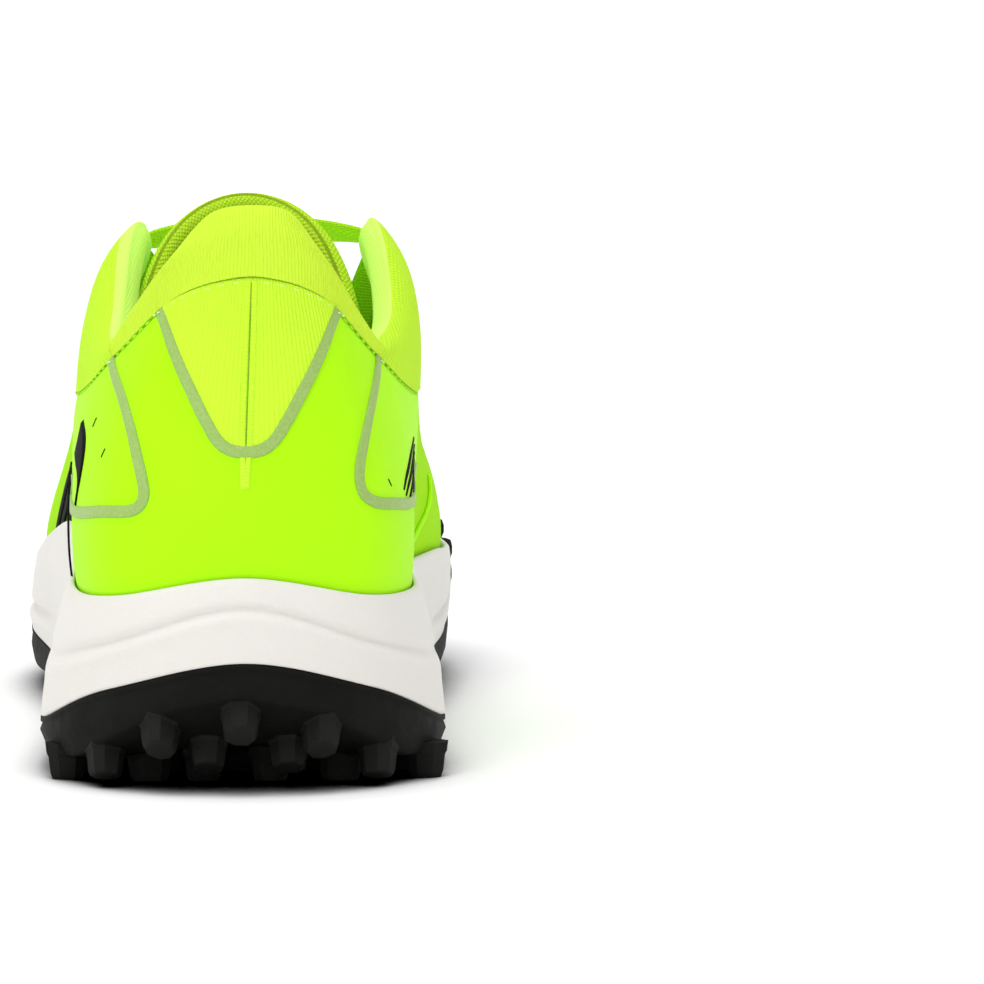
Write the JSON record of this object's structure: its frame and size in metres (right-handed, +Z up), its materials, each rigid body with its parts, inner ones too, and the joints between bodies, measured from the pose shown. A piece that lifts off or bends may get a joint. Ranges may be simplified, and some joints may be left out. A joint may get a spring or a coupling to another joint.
{
  "type": "running shoe",
  "caption": "Left neon yellow-green running shoe with a lugged black rubber outsole, white foam midsole, padded collar and reflective heel tape.",
  "frame": {"origin": "middle of the shoe's box, at the ground", "axes": "+Y towards the toe, +X towards the medial side, +Z up"},
  "size_m": [0.1098, 0.297, 0.1252],
  "materials": {
    "outsole_rubber": "matte",
    "midsole_foam": "matte",
    "knit": "matte",
    "film": "satin",
    "rib_knit": "matte",
    "collar_cloth": "matte",
    "lining": "matte",
    "tongue_cloth": "matte",
    "binding": "matte",
    "reflective": "satin",
    "dark_print": "satin",
    "foam": "matte",
    "counter_board": "satin",
    "strobel_cloth": "matte",
    "insole_cloth": "matte",
    "plate": "satin",
    "lace_cord": "matte",
    "aglet_film": "gloss"
  },
  "bodies": {
    "rear": {"outsole_rear": "outsole_rubber", "midsole_rear": "midsole_foam", "shank": "plate", "strobel_board_rear": "strobel_cloth", "insole_ball": "insole_cloth", "quarter_lateral": "knit", "quarter_medial": "knit", "vamp": "knit", "heel_counter": "counter_board", "collar_foam_lateral": "foam", "collar_foam_medial": "foam", "collar_lining": "lining", "heel_rib_panel": "rib_knit", "heel_tab": "rib_knit", "heel_film_lateral": "film", "heel_film_medial": "film", "reflective_v": "reflective", "reflective_lateral": "reflective", "reflective_medial": "reflective", "side_band_lateral": "dark_print", "side_band_medial": "dark_print", "eyestay_lateral": "film", "eyestay_medial": "film", "collar_cover_lateral": "collar_cloth", "collar_cover_medial": "collar_cloth", "tongue": "tongue_cloth", "tongue_lining": "lining", "lace_loop": "film", "lace": "lace_cord", "lace_tail_lateral": "lace_cord", "lace_tail_medial": "lace_cord", "aglet_lateral": "aglet_film", "aglet_medial": "aglet_film"},
    "forefoot": {"outsole_front": "outsole_rubber", "midsole_front": "midsole_foam", "strobel_board_front": "strobel_cloth", "insole_toe": "insole_cloth", "toe_box": "knit", "vamp_flex": "knit"},
    "tongue": {"tongue_top": "tongue_cloth", "tongue_binding": "binding"},
    "insole": {"insole_heel": "insole_cloth"}
  },
  "joints": [
    {"name": "toe_flex", "type": "hinge", "parent": "rear", "child": "forefoot", "pos_m": [0, 0.06353, 0.026], "axis": [1, 0, 0], "range_deg": [0, 30], "stiffness_Nm_per_rad": 2.5, "deforming": ["vamp_flex"]},
    {"name": "tongue_pull", "type": "hinge", "parent": "rear", "child": "tongue", "pos_m": [0.00596, -0.03897, 0.103], "axis": [-1, 0, 0], "range_deg": [0, 18], "stiffness_Nm_per_rad": 0.1},
    {"name": "insole_lift", "type": "hinge", "parent": "rear", "child": "insole", "pos_m": [0, 0.04753, 0.029], "axis": [-1, 0, 0], "range_deg": [0, 8]}
  ]
}
